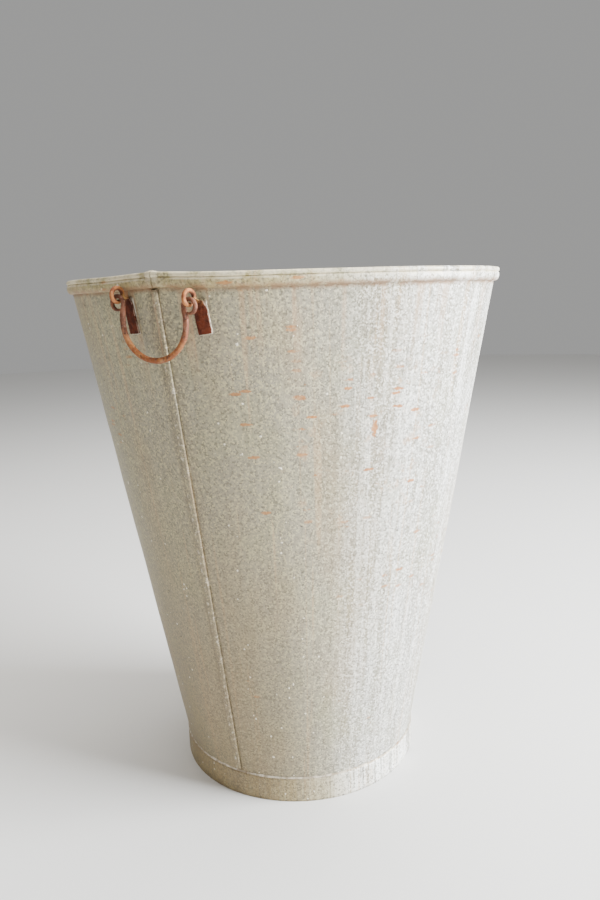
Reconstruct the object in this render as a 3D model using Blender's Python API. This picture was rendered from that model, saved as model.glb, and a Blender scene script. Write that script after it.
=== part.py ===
"""Tall galvanised florist bucket: two tapered sheet panels joined by lock seams at -X and +X,
a wired rim over a half-round hoop, a banded foot round a raised floor, and a hanging handle
linked through two soldered lugs at each seam. Metres, +Z up, origin under the centre of the foot.
"""

import math

import bmesh
import bpy
from mathutils import Matrix, Vector

# Driving dimensions.
HEIGHT = 0.600
MOUTH_RADIUS = 0.2470  # middle of the sheet at the rim, where the mouth is round
FOOT_RADIUS = 0.1471  # middle of the sheet behind the foot band
FOOT_HEIGHT = 0.0295
SHEET = 0.0008
GAP = 0.0003  # left between pieces that touch
STEP_DEG = 5  # angle between the plan stations that every ring and panel shares

# The mouth is pulled out of round: each panel is flat beside one seam and a little beside the other.
FLAT_DEPTH, FLAT_AT, FLAT_SPREAD = 0.0250, math.radians(42), math.radians(22)
DENT_DEPTH, DENT_AT, DENT_SPREAD = 0.0045, math.radians(-20), math.radians(12)
PEAK_HEIGHT, PEAK_SPREAD = 0.0034, math.radians(6)
SEAM_LIFT, LIFT_SPREAD = 0.0020, math.radians(7)  # how far the handles have pulled the rim up at the seams

# Lock seam: four layers of sheet, one LAYER apart.
LAYER = SHEET + GAP
FOLD_WIDTH = 0.0030
FOLD_SHORT = 0.0005  # how far each return stops short of the other panel's fold
STEP_START = 0.0019  # past the fold's middle, where the cover starts to step down to its own wall
SEAM_FLAT = 0.0060  # half the width of the flat that the seam is folded in
SEAM_TOP = HEIGHT - 0.0160
SEAM_BOTTOM = FOOT_HEIGHT + 0.0045
PANEL_BOTTOM = 0.0030

# Wired rim: the sheet's edge is curled outwards round a steel wire.
WIRE_RADIUS = 0.0013
CURL_RADIUS = WIRE_RADIUS + GAP + SHEET / 2
BEAD_CENTRE_Z = HEIGHT - CURL_RADIUS - SHEET / 2
CURL_END = math.radians(-100)
CURL_STEPS = 8

# Half-round hoop under the bead.
HOOP_TOP = BEAD_CENTRE_Z - CURL_RADIUS - SHEET / 2 - GAP
HOOP_BOTTOM = HOOP_TOP - 0.0095
HOOP_INNER = SHEET / 2 + GAP
HOOP_OUTER = 0.0053

# Foot band, floor pan and the solder that closes them.
BAND = 0.0010
BAND_RADIUS = FOOT_RADIUS + SHEET / 2 + GAP + BAND / 2
BAND_LAP_STATION = 50  # the station where the band's ends lap, on the back panel
PAN_Z = 0.0160
PAN_BOTTOM = 0.0020
PAN_RADIUS = FOOT_RADIUS - SHEET - GAP
PAN_BEND = 0.0012
PAN_INNER_SHARE = 0.55  # radius of the ring that splits the pan's long triangles
FILLET = 0.0030
SEAM_SOLDER_SECTION = ((0.0030, 0), (-0.0054, 0), (-0.0046, 0.0006), (0.0022, 0.0006))  # (across, deep)

# Lugs: a flat strap soldered to the wall, drawn out at the top into a rod that curls into an eye.
# Each place gives the angles of its strap and its eye, the eye's height, and the strap's tilt and length.
FRONT = {
    "strap": math.radians(9.8),
    "eye": math.radians(8.8),
    "z": HEIGHT - 0.0209,
    "tilt": math.radians(8.5),
    "length": 0.0358,
}
REAR = {
    "strap": math.radians(-9.3),
    "eye": math.radians(-9.2),
    "z": HEIGHT - 0.0160,
    "tilt": 0.0,
    "length": 0.0395,
}
STRAP_WIDTH, STRAP_THICK = 0.0130, 0.0020
STRAP_END = 0.0020  # the last of the strap, a little narrower
SHOULDER, SHOULDER_RISE, SHOULDER_SHARE = 0.0060, 0.0020, 0.62  # below the eye, its height and width share
EYE_RADIUS, EYE_ROD = 0.0064, 0.0021
EYE_STANDOFF = 0.0126  # from the wall's outer face to the eye's centre
EYE_TWIST = math.radians(12)  # how far the eyes are turned from square to the handle's axis
EYE_START, EYE_END = math.radians(186), math.radians(-122)
EYE_STEPS = 13
EYE_TIP = 0.85  # the rod's end is hammered a little thinner
BED_THICK, BED_MARGIN = 0.0004, 0.0008

# Handles: a round rod bent to a U, its ends curled outwards into eyes that link the lugs.
ROD_RADIUS, END_RADIUS, TAIL_RADIUS = 0.0028, 0.0021, 0.0016
LINK_PLAY = 0.0009  # room between a handle's bar and the lug eye that it hangs in
LINK_DROP = EYE_RADIUS - EYE_ROD - END_RADIUS - LINK_PLAY  # from the lug eye's centre down to the bar
HANDLE_DROP = 0.0580
LEG_SPREAD = 0.0018  # how far each leg stands outside the inner side of its eye
TAIL_ANGLE = math.radians(-78)
LEG_SWELL = 0.008  # above the bend, where the leg reaches nearly its full thickness
EYE_TURN_STEPS, BEND_STEPS = 11, 12


def plan_direction(angle):
    """Outward direction in plan; the angle runs from the -X seam towards -Y."""
    return Vector((-math.cos(angle), -math.sin(angle), 0))


def bump(angle, centre, spread):
    """A smooth bump of height one that repeats at both seams."""
    return math.exp((math.cos(2 * (angle - centre)) - 1) / (4 * spread**2))


def mouth_radius(angle):
    from_seam = abs((angle + math.pi / 2) % math.pi - math.pi / 2)
    flat = FLAT_DEPTH * bump(angle, FLAT_AT, FLAT_SPREAD) + DENT_DEPTH * bump(angle, DENT_AT, DENT_SPREAD)
    return MOUTH_RADIUS - flat + PEAK_HEIGHT * math.exp(-from_seam / PEAK_SPREAD)


def wall_point(angle, z, out=0.0, across=0.0):
    """A point on the middle of the sheet, moved outwards by out and sideways by across."""
    rise = max(0.0, (z - FOOT_HEIGHT) / (HEIGHT - FOOT_HEIGHT))
    radius = FOOT_RADIUS + rise * (mouth_radius(angle) - FOOT_RADIUS)
    lift = rise * SEAM_LIFT * bump(angle, 0, LIFT_SPREAD)
    sideways = plan_direction(angle + math.pi / 2) * across
    return plan_direction(angle) * (radius + out) + sideways + Vector((0, 0, z + lift))


def half_stations():
    """Plan stations of one panel, (angle, across): every STEP_DEG, with a narrow flat at each seam."""
    turns = [(math.radians(turn), 0) for turn in range(STEP_DEG, 180, STEP_DEG)]
    return [(0, SEAM_FLAT), *turns, (math.pi, -SEAM_FLAT)]


def stations():
    """The same all round, so that rings and panels keep their gap everywhere."""
    return half_stations() + [(angle + math.pi, across) for angle, across in half_stations()]


def wall_frame(angle, z):
    """(along, up, out): unit vectors along the wall in plan, up its slope, and out of it."""
    small = 1e-4
    along = (wall_point(angle + small, z) - wall_point(angle - small, z)).normalized()
    slope = wall_point(angle, z + small) - wall_point(angle, z)
    out = along.cross(slope).normalized()
    return along, out.cross(along), out


def paint(obj, colour, roughness, metallic):
    material = bpy.data.materials.new(obj.name)
    material.use_nodes = True
    shader = material.node_tree.nodes["Principled BSDF"]
    shader.inputs["Base Color"].default_value = (*colour, 1)
    shader.inputs["Roughness"].default_value = roughness
    shader.inputs["Metallic"].default_value = metallic
    obj.data.materials.append(material)


def add_object(name, data, finish):
    obj = bpy.data.objects.new(name, data)
    bpy.context.collection.objects.link(obj)
    paint(obj, *finish)
    return obj


def mesh_from(bm, name):
    mesh = bpy.data.meshes.new(name)
    bm.to_mesh(mesh)
    bm.free()
    mesh.shade_smooth()
    mesh.set_sharp_from_angle(angle=math.radians(35))
    return mesh


def opposite(obj, name):
    """The same piece on the other side: a copy turned half round the bucket's axis."""
    copy = bpy.data.objects.new(name, obj.data)
    bpy.context.collection.objects.link(copy)
    copy.matrix_world = Matrix.Rotation(math.pi, 4, "Z") @ obj.matrix_basis
    return copy


def thicken(obj, thickness):
    """Gives a surface its thickness, half on each side."""
    solidify = obj.modifiers.new("Sheet", "SOLIDIFY")
    solidify.thickness = thickness
    solidify.offset = 0
    solidify.use_even_offset = True


def ring(name, profile, finish):
    """A closed ring that follows the wall; profile is a list of (out, z) points."""
    bm = bmesh.new()
    loops = []
    for angle, across in stations():
        loops.append([bm.verts.new(wall_point(angle, z, out, across)) for out, z in profile])
    for i, loop in enumerate(loops):
        following = loops[(i + 1) % len(loops)]
        for j in range(len(profile)):
            k = (j + 1) % len(profile)
            bm.faces.new((loop[j], following[j], following[k], loop[k]))
    bmesh.ops.recalc_face_normals(bm, faces=bm.faces)
    return add_object(name, mesh_from(bm, name), finish)


ZINC = ((0.46, 0.45, 0.40), 0.55, 0.85)
SOLDER = ((0.62, 0.61, 0.57), 0.40, 0.90)
BRIGHT_WIRE = ((0.40, 0.38, 0.36), 0.50, 0.90)
RUST = ((0.20, 0.07, 0.04), 0.85, 0.20)
WORN_RUST = ((0.42, 0.20, 0.12), 0.60, 0.45)


def seam_point(angle, z, across, layers):
    """A point of the lock seam: across it in plan, and so many layers out from the wall."""
    return wall_point(angle, z, layers * LAYER, across)


FOLD_ARC = [math.radians(turn) for turn in (45, 90, 135)]


def cover_points(angle, z):
    """The edge that is folded inwards: its return, the fold, then its top over the other panel's hook."""
    half = FOLD_WIDTH / 2
    section = [(FOLD_SHORT - half, 1), (half, 1)]
    section += [(half + LAYER * math.sin(turn), 2 - math.cos(turn)) for turn in FOLD_ARC]
    section += [(half, 3), (-half - STEP_START, 3)]
    return [seam_point(angle, z, across, layers) for across, layers in section]


def hook_points(angle, z):
    """The other edge, folded outwards and back inside the cover; from its return to its wall."""
    half = FOLD_WIDTH / 2
    section = [(half - FOLD_SHORT, 2), (-half, 2)]
    section += [(-half - LAYER * math.sin(turn), 1 + math.cos(turn)) for turn in FOLD_ARC]
    section.append((-half, 0))
    return [seam_point(angle, z, across, layers) for across, layers in section]


def panel_mesh():
    """Half of the body, from the seam at -X round the -Y side to the seam at +X, as one bent sheet."""
    bm = bmesh.new()
    butt = GAP / 2 + GAP
    walls = half_stations()
    last = len(walls) + 1

    def row(z, out=0.0, rise=0.0, butt_rise=0.0):
        """One level: the butt at the -X seam, the wall's stations, and the butt at the +X seam."""
        points = [wall_point(0, z + butt_rise, out, butt)]
        points += [wall_point(angle, z, out, across) for angle, across in walls]
        points += [wall_point(math.pi, z + butt_rise, out, -butt)]
        return [bm.verts.new(point + Vector((0, 0, rise))) for point in points]

    def join(lower, upper, first, last):
        for i in range(first, last):
            bm.faces.new((lower[i], lower[i + 1], upper[i + 1], upper[i]))

    foot_rows = [row(PANEL_BOTTOM), row(FOOT_HEIGHT), row(SEAM_BOTTOM, butt_rise=-SHEET)]
    for lower, upper in zip(foot_rows, foot_rows[1:]):
        join(lower, upper, 0, last)
    low, high = foot_rows[-1], row(SEAM_TOP, butt_rise=SHEET)
    join(low, high, 1, last - 1)
    folds = []
    for z, level in ((SEAM_BOTTOM, low), (SEAM_TOP, high)):
        start = [bm.verts.new(point) for point in hook_points(0, z)] + [level[1]]
        end = [level[last - 1]] + [bm.verts.new(point) for point in reversed(cover_points(math.pi, z))]
        folds.append((start, end))
    (start, end), (start_above, end_above) = folds
    join(start, start_above, 0, len(start) - 1)
    join(end, end_above, 0, len(end) - 1)

    below = high
    for i in range(CURL_STEPS + 1):
        turn = math.pi + (CURL_END - math.pi) * i / CURL_STEPS
        level = row(BEAD_CENTRE_Z, CURL_RADIUS * (1 + math.cos(turn)), CURL_RADIUS * math.sin(turn))
        join(below, level, 0, last)
        below = level
    return mesh_from(bm, "panel")


def rim_wire():
    """The steel wire inside the rolled edge, one closed ring."""
    curve = bpy.data.curves.new("rim_wire", "CURVE")
    curve.dimensions = "3D"
    curve.bevel_depth = WIRE_RADIUS
    curve.bevel_resolution = 1
    spline = curve.splines.new("POLY")
    spline.points.add(len(stations()) - 1)
    spline.use_cyclic_u = True
    for point, (angle, across) in zip(spline.points, stations()):
        point.co = (*wall_point(angle, BEAD_CENTRE_Z, CURL_RADIUS, across), 1)
    return add_object("rim_wire", curve, BRIGHT_WIRE)


def rim_hoop():
    """The half-round iron hoop that stiffens the rim below the bead."""
    middle = (HOOP_TOP + HOOP_BOTTOM) / 2
    half = (HOOP_TOP - HOOP_BOTTOM) / 2
    turns = [math.radians(turn) for turn in (-65, -35, 0, 35, 65)]
    thick = HOOP_OUTER - HOOP_INNER
    bulge = [(HOOP_INNER + thick * math.cos(turn), middle + half * math.sin(turn)) for turn in turns]
    return ring("rim_hoop", [(HOOP_INNER, HOOP_BOTTOM), *bulge, (HOOP_INNER, HOOP_TOP)], ZINC)


def foot_band():
    """A strip bent round the foot, its end lapped over its start."""
    bm = bmesh.new()
    out = BAND_RADIUS - FOOT_RADIUS
    lap = BAND + GAP
    start = BAND_LAP_STATION
    path = [(*place, out) for place in stations()[start:] + stations()[: start + 1]]
    path += [(*place, out + lap) for place in stations()[start + 1 : start + 3]]
    rows = []
    for angle, across, outwards in path:
        rows.append([bm.verts.new(wall_point(angle, z, outwards, across)) for z in (0, FOOT_HEIGHT - GAP)])
    for (low, high), (next_low, next_high) in zip(rows, rows[1:]):
        bm.faces.new((low, next_low, next_high, high))
    obj = add_object("foot_band", mesh_from(bm, "foot_band"), ZINC)
    thicken(obj, BAND)
    return obj


def floor_pan():
    """The raised floor: a disc with its edge turned down inside the wall."""
    bm = bmesh.new()
    levels = [(PAN_RADIUS * PAN_INNER_SHARE, PAN_Z), (PAN_RADIUS - PAN_BEND, PAN_Z)]
    levels += [(PAN_RADIUS, PAN_Z - PAN_BEND), (PAN_RADIUS, PAN_BOTTOM)]
    loops = []
    for radius, z in levels:
        share = radius / FOOT_RADIUS
        points = [wall_point(angle, 0, 0, across) * share + Vector((0, 0, z)) for angle, across in stations()]
        loops.append([bm.verts.new(point) for point in points])
    centre = bm.verts.new((0, 0, PAN_Z))
    for i in range(len(stations())):
        j = (i + 1) % len(stations())
        bm.faces.new((centre, loops[0][i], loops[0][j]))
        for inner, outer in zip(loops, loops[1:]):
            bm.faces.new((inner[i], outer[i], outer[j], inner[j]))
    bmesh.ops.recalc_face_normals(bm, faces=bm.faces)
    obj = add_object("floor_pan", mesh_from(bm, "floor_pan"), ZINC)
    thicken(obj, SHEET)
    return obj


def seam_solder():
    """Solder run down the inside of the seam at -X, over the joint between the two panels."""
    bm = bmesh.new()
    rows = []
    for z in (PAN_Z + FILLET + 3 * GAP, FOOT_HEIGHT, SEAM_TOP):
        base = wall_point(0, z, -SHEET / 2 - GAP)
        along, inward = plan_direction(math.pi / 2), -plan_direction(0)
        corners = [base + along * across + inward * deep for across, deep in SEAM_SOLDER_SECTION]
        rows.append([bm.verts.new(corner) for corner in corners])
    for lower, upper in zip(rows, rows[1:]):
        for i in range(4):
            j = (i + 1) % 4
            bm.faces.new((lower[i], lower[j], upper[j], upper[i]))
    bm.faces.new(rows[0])
    bm.faces.new(rows[-1])
    bmesh.ops.recalc_face_normals(bm, faces=bm.faces)
    return add_object("left_seam_solder", mesh_from(bm, "seam_solder"), SOLDER)


def loft(name, sections, finish):
    """Skins rounded-rectangle sections, each (centre, side, face, half width, half thickness, corner)."""
    bm = bmesh.new()
    loops = []
    for centre, side, face, wide, thick, corner in sections:
        top = [(wide, thick * (1 - corner)), (wide * (1 - corner), thick)]
        top += [(-across, up) for across, up in reversed(top)]
        outline = top + [(-across, -up) for across, up in top]
        loops.append([bm.verts.new(centre + side * across + face * up) for across, up in outline])
    for loop, following in zip(loops, loops[1:]):
        bmesh.ops.bridge_loops(bm, edges=loop_edges(bm, loop) + loop_edges(bm, following))
    bmesh.ops.holes_fill(bm, edges=bm.edges, sides=0)
    bmesh.ops.recalc_face_normals(bm, faces=bm.faces)
    return add_object(name, mesh_from(bm, name), finish)


def loop_edges(bm, loop):
    edges = []
    for start, end in zip(loop, loop[1:] + loop[:1]):
        edges.append(bm.edges.get((start, end)) or bm.edges.new((start, end)))
    return edges


def tilted(frame, tilt):
    along, up, out = frame
    return along * math.cos(tilt) + up * math.sin(tilt), up * math.cos(tilt) - along * math.sin(tilt), out


def eye_centre(place):
    _, _, out = wall_frame(place["eye"], place["z"])
    return wall_point(place["eye"], place["z"]) + out * (SHEET / 2 + EYE_STANDOFF)


def lug(name, place, axis):
    """One lug: strap, tapering neck, and the eye, whose plane is nearly square to the handle's axis."""
    along, up, out = tilted(wall_frame(place["strap"], place["z"]), place["tilt"])
    strap = wall_point(place["strap"], place["z"])
    strap += out * (SHEET / 2 + BED_THICK + 2 * GAP + STRAP_THICK / 2)
    half_w, half_t, octagon = STRAP_WIDTH / 2, STRAP_THICK / 2, 1 - math.tan(math.pi / 8)
    sections = [
        (strap - up * place["length"], along, out, half_w * 0.94, half_t, 0.2),
        (strap - up * (place["length"] - STRAP_END), along, out, half_w, half_t, 0.2),
        (strap - up * SHOULDER, along, out, half_w, half_t, 0.2),
        (strap - up * (SHOULDER - SHOULDER_RISE), along, out, half_w * SHOULDER_SHARE, half_t * 1.1, 0.4),
    ]
    axis = Matrix.Rotation(-EYE_TWIST, 3, "Z") @ axis
    outward = axis.cross(Vector((0, 0, 1))).normalized()
    vertical = outward.cross(axis).normalized()
    centre = eye_centre(place)
    eye = []
    for i in range(EYE_STEPS + 1):
        turn = EYE_START + (EYE_END - EYE_START) * i / EYE_STEPS
        ray = outward * math.cos(turn) + vertical * math.sin(turn)
        rod = EYE_ROD * (EYE_TIP if i == EYE_STEPS else 1)
        eye.append((centre + ray * EYE_RADIUS, axis, -ray, rod, rod, octagon))
    # The neck leans from the strap to the eye, half turned between the two.
    neck = sections[-1][0].lerp(eye[0][0], 0.5)
    sections.append((neck, (along + axis).normalized(), out, EYE_ROD * 1.15, EYE_ROD * 0.8, octagon))
    return loft(name, sections + eye, RUST)


def lug_bed(name, place):
    """The bed of solder that holds a strap to the wall and shows round its edge."""
    along, up, out = tilted(wall_frame(place["strap"], place["z"]), place["tilt"])
    root = wall_point(place["strap"], place["z"]) + out * (SHEET / 2 + GAP + BED_THICK / 2)
    half_w, half_t = STRAP_WIDTH / 2 + BED_MARGIN, BED_THICK / 2
    low = root - up * (place["length"] + BED_MARGIN)
    high = root - up * (SHOULDER - GAP)
    sections = [(low, along, out, half_w, half_t, 0.3), (high, along, out, half_w * 0.9, half_t, 0.3)]
    return loft(name, sections, SOLDER)


def handle(name, front, rear):
    """The U-shaped rod; front and rear are the points where its eyes hang in the lugs."""
    middle = (front + rear) / 2
    across = (front - rear) * Vector((1, 1, 0))
    half = across.length / 2
    across.normalize()
    leg = half - EYE_RADIUS + LEG_SPREAD
    route = []

    def add(sideways, z, radius):
        route.append((across * sideways + Vector((0, 0, z)), radius))

    def eye(side, bar_z):
        """Points of one eye from its tail, round under the lug and up to the leg."""
        points = []
        for i in range(EYE_TURN_STEPS + 1):
            turn = TAIL_ANGLE - (2 * math.pi + TAIL_ANGLE) * i / EYE_TURN_STEPS
            sideways = side * (half - EYE_RADIUS * math.cos(turn))
            thin = TAIL_RADIUS + (END_RADIUS - TAIL_RADIUS) * min(1, i / 3)
            points.append((sideways, bar_z - EYE_RADIUS + EYE_RADIUS * math.sin(turn), thin))
        return points

    front_z, rear_z = front.z - middle.z, rear.z - middle.z
    bend_z = leg - HANDLE_DROP
    for point in eye(1, front_z):
        add(*point)
    add(leg, bend_z + LEG_SWELL, ROD_RADIUS * 0.95)
    for i in range(BEND_STEPS + 1):
        turn = math.pi * i / BEND_STEPS
        add(leg * math.cos(turn), bend_z - leg * math.sin(turn), ROD_RADIUS)
    add(-leg, bend_z + LEG_SWELL, ROD_RADIUS * 0.95)
    for point in reversed(eye(-1, rear_z)):
        add(*point)

    curve = bpy.data.curves.new("handle", "CURVE")
    curve.dimensions = "3D"
    curve.bevel_depth = 1
    curve.bevel_resolution = 2
    curve.use_fill_caps = True
    spline = curve.splines.new("POLY")
    spline.points.add(len(route) - 1)
    for point, (place, radius) in zip(spline.points, route):
        point.co = (*place, 1)
        point.radius = radius
    obj = add_object(name, curve, WORN_RUST)
    obj.location = middle
    return obj


for old in list(bpy.data.objects):
    bpy.data.objects.remove(old)

front_panel = add_object("front_panel", panel_mesh(), ZINC)
thicken(front_panel, SHEET)
back_panel = opposite(front_panel, "back_panel")
thicken(back_panel, SHEET)

rim_wire()
rim_hoop()
foot_band()
floor_pan()

wall_face = SHEET / 2 + GAP
band_face = BAND_RADIUS + BAND / 2 - FOOT_RADIUS
foot_fillet = [(wall_face, FOOT_HEIGHT), (band_face, FOOT_HEIGHT), (wall_face, FOOT_HEIGHT + FILLET)]
ring("foot_solder", foot_fillet, SOLDER)
pan_face = PAN_Z + SHEET / 2 + GAP
floor_fillet = [(-wall_face - FILLET, pan_face), (-wall_face, pan_face), (-wall_face, pan_face + FILLET)]
ring("floor_solder", floor_fillet, SOLDER)
opposite(seam_solder(), "right_seam_solder")

front_eye, rear_eye = eye_centre(FRONT), eye_centre(REAR)
hinge_axis = (front_eye - rear_eye).normalized()
opposite(lug("left_front_lug", FRONT, hinge_axis), "right_rear_lug")
opposite(lug("left_rear_lug", REAR, hinge_axis), "right_front_lug")
opposite(lug_bed("left_front_lug_solder", FRONT), "right_rear_lug_solder")
opposite(lug_bed("left_rear_lug_solder", REAR), "right_front_lug_solder")

link = Vector((0, 0, LINK_DROP))
opposite(handle("left_handle", front_eye - link, rear_eye - link), "right_handle")
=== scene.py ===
"""Old galvanised florist bucket, as it stands in a florist's store after years of water and weather."""

import math

import bmesh
import bpy
from mathutils import Matrix, Vector, noise


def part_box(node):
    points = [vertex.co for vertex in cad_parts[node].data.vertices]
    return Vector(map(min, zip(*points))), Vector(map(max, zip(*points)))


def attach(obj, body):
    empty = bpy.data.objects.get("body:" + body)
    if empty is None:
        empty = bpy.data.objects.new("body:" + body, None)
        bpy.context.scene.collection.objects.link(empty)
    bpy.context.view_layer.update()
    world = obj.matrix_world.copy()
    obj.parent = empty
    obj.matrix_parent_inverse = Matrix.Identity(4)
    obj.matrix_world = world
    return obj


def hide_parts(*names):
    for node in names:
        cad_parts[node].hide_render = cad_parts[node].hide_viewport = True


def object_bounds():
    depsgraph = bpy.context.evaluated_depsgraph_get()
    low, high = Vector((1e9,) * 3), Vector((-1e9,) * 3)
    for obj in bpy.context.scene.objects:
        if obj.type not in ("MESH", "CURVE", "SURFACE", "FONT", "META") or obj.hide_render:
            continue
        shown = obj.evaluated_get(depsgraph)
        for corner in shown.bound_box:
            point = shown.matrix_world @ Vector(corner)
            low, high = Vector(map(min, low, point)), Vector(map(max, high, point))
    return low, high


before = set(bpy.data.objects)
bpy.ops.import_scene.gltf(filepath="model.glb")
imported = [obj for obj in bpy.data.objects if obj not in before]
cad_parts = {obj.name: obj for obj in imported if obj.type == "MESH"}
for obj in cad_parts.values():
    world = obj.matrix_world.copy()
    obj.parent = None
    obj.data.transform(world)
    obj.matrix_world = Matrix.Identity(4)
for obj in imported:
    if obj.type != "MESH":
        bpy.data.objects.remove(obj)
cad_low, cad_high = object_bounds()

# ---------------------------------------------------------------------------------------------
# Camera. The viewer stands close in front of the seam side, with the lens just below the height
# of the rim, and holds the camera tipped down and very slightly rolled.
SEAM_LIFT = 0.0020  # how far the handles have pulled the rim up at the seams
RIM_Z = cad_high.z - SEAM_LIFT
EYE_HEIGHT = 0.962 * RIM_Z
EYE_DISTANCE = 1.534 * RIM_Z
SEAM_TURN = math.radians(28.7)  # how far the -X seam is turned to the viewer's left
PITCH = math.radians(11.7)
ROLL = math.radians(1.95)
ASIDE = 0.0122  # how far the eye stands to the right of the bucket's axis

ahead = Vector((math.cos(SEAM_TURN), math.sin(SEAM_TURN), 0))
rightward = Vector((math.sin(SEAM_TURN), -math.cos(SEAM_TURN), 0))
eye = Vector((0, 0, EYE_HEIGHT)) - ahead * EYE_DISTANCE + rightward * ASIDE

camera_data = bpy.data.cameras.new("camera")
camera_data.sensor_fit = "VERTICAL"
camera_data.sensor_height = 36
camera_data.lens = 30
camera = bpy.data.objects.new("camera", camera_data)
bpy.context.collection.objects.link(camera)
gaze = ahead * math.cos(PITCH) - Vector((0, 0, 1)) * math.sin(PITCH)
over = rightward.cross(gaze)
turn = Matrix((
    rightward * math.cos(ROLL) - over * math.sin(ROLL),
    rightward * math.sin(ROLL) + over * math.cos(ROLL),
    -gaze,
)).transposed()
camera.matrix_world = Matrix.Translation(eye) @ turn.to_4x4()
bpy.context.scene.camera = camera

# ---------------------------------------------------------------------------------------------
# Floor and light. A plain pale floor, a broad window-like soft box on the viewer's right, a weak
# one on the left, one overhead, and an even pale surround.
floor_mesh = bpy.data.meshes.new("floor")
bm = bmesh.new()
bmesh.ops.create_circle(bm, cap_ends=True, segments=96, radius=6)
bm.to_mesh(floor_mesh)
bm.free()
floor = bpy.data.objects.new("floor", floor_mesh)
bpy.context.collection.objects.link(floor)
floor_paint = bpy.data.materials.new("pale floor")
floor_paint.use_nodes = True
floor_shader = floor_paint.node_tree.nodes["Principled BSDF"]
floor_shader.inputs["Base Color"].default_value = (0.76, 0.75, 0.73, 1)
floor_shader.inputs["Roughness"].default_value = 0.8
floor_mesh.materials.append(floor_paint)


def soft_box(name, place, aim, size, watts, colour):
    """A rectangular soft light at place, facing aim; size is its width and height."""
    data = bpy.data.lights.new(name, "AREA")
    data.shape = "RECTANGLE"
    data.size, data.size_y = size
    data.energy = watts
    data.color = colour
    lamp = bpy.data.objects.new(name, data)
    bpy.context.collection.objects.link(lamp)
    turned = (aim - place).to_track_quat("-Z", "Y").to_matrix().to_4x4()
    lamp.matrix_world = Matrix.Translation(place) @ turned


belly = Vector((0, 0, RIM_Z / 2))
window = belly + rightward * 2.25 - ahead * 0.6 + Vector((0, 0, 0.9))
room = belly - rightward * 1.9 - ahead * 1.5 + Vector((0, 0, 1.2))
above = belly + ahead * 0.4 + Vector((0, 0, 2.2))
soft_box("window", window, belly, (1.5, 1.8), 360, (0.95, 0.98, 1))
soft_box("room", room, belly, (1.6, 1.6), 12, (1, 0.90, 0.76))
soft_box("above", above, belly, (1.8, 1.8), 70, (1, 0.98, 0.94))

world = bpy.data.worlds.new("surround")
world.use_nodes = True
world.node_tree.nodes["Background"].inputs["Color"].default_value = (0.80, 0.80, 0.79, 1)
world.node_tree.nodes["Background"].inputs["Strength"].default_value = 0.46
bpy.context.scene.world = world

# ---------------------------------------------------------------------------------------------
# Body. Two panels of hot-dipped sheet, rolled to a taper and joined at -X and +X by lock seams:
# one panel's edge is folded out and back, and the other's is folded over it and hammered down.
# The top edge of both is curled outwards round a steel wire.
SHEET = 0.0008
GAP = 0.0003
LAYER = SHEET + GAP
FOOT_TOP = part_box("foot_band")[1].z + GAP
FOOT_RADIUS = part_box("floor_pan")[1].x + SHEET / 2 + GAP
MOUTH_RADIUS = 0.2470
FLAT_DEPTH, FLAT_AT, FLAT_SPREAD = 0.0250, math.radians(42), math.radians(22)
DENT_DEPTH, DENT_AT, DENT_SPREAD = 0.0045, math.radians(-20), math.radians(12)
PEAK_HEIGHT, PEAK_SPREAD = 0.0034, math.radians(6)
LIFT_SPREAD = math.radians(7)
SEAM_FLAT = 0.0060
FOLD_WIDTH = 0.0030
FOLD_SHORT = 0.0005
SEAM_TOP = RIM_Z - 0.0160
SEAM_BOTTOM = FOOT_TOP + 0.0045
PANEL_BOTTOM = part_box("front_panel")[0].z
WIRE_RADIUS = 0.0013
CURL_RADIUS = WIRE_RADIUS + GAP + SHEET / 2
BEAD_Z = RIM_Z - CURL_RADIUS - SHEET / 2
CURL_END = math.radians(-100)
ROUND_STEP = math.radians(1.25)
BEAD_SWELL, BEAD_SWELL_LENGTH = 0.65, 0.0058  # the lump of solder where the bead's ends meet
WALL_ROWS, CURL_ROWS = 108, 18
HOOP_TOP = BEAD_Z - CURL_RADIUS - SHEET / 2 - GAP
HOOP_HEIGHT = 0.0095
HOOP_BOTTOM = HOOP_TOP - HOOP_HEIGHT
WAVES, KNOCKS = 0.0011, 0.0004  # how far the sheet has been pushed out of true


def plan_direction(angle):
    """Outward direction in plan; the angle runs from the -X seam towards -Y."""
    return Vector((-math.cos(angle), -math.sin(angle), 0))


def bump(angle, centre, spread):
    """A smooth bump of height one that repeats at both seams."""
    return math.exp((math.cos(2 * (angle - centre)) - 1) / (4 * spread**2))


def mouth_radius(angle):
    """The mouth is flattened and dented out of round, and drawn out to a slight peak at each seam."""
    from_seam = abs((angle + math.pi / 2) % math.pi - math.pi / 2)
    flat = FLAT_DEPTH * bump(angle, FLAT_AT, FLAT_SPREAD) + DENT_DEPTH * bump(angle, DENT_AT, DENT_SPREAD)
    return MOUTH_RADIUS - flat + PEAK_HEIGHT * math.exp(-from_seam / PEAK_SPREAD)


def wall_point(angle, z, out=0.0, across=0.0):
    """A point on the middle of the sheet, moved outwards by out and sideways by across."""
    rise = max(0.0, (z - FOOT_TOP) / (RIM_Z - FOOT_TOP))
    radius = FOOT_RADIUS + rise * (mouth_radius(angle) - FOOT_RADIUS)
    lift = rise * SEAM_LIFT * bump(angle, 0, LIFT_SPREAD)
    sideways = plan_direction(angle + math.pi / 2) * across
    return plan_direction(angle) * (radius + out) + sideways + Vector((0, 0, z + lift))


def half_stations():
    """(angle, across) along one panel: every ROUND_STEP, with a short flat at each seam."""
    steps = round(math.pi / ROUND_STEP)
    clear_of_seams = [(math.pi * i / steps, 0) for i in range(2, steps - 1)]
    return [(0, SEAM_FLAT), *clear_of_seams, (math.pi, -SEAM_FLAT)]


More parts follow.
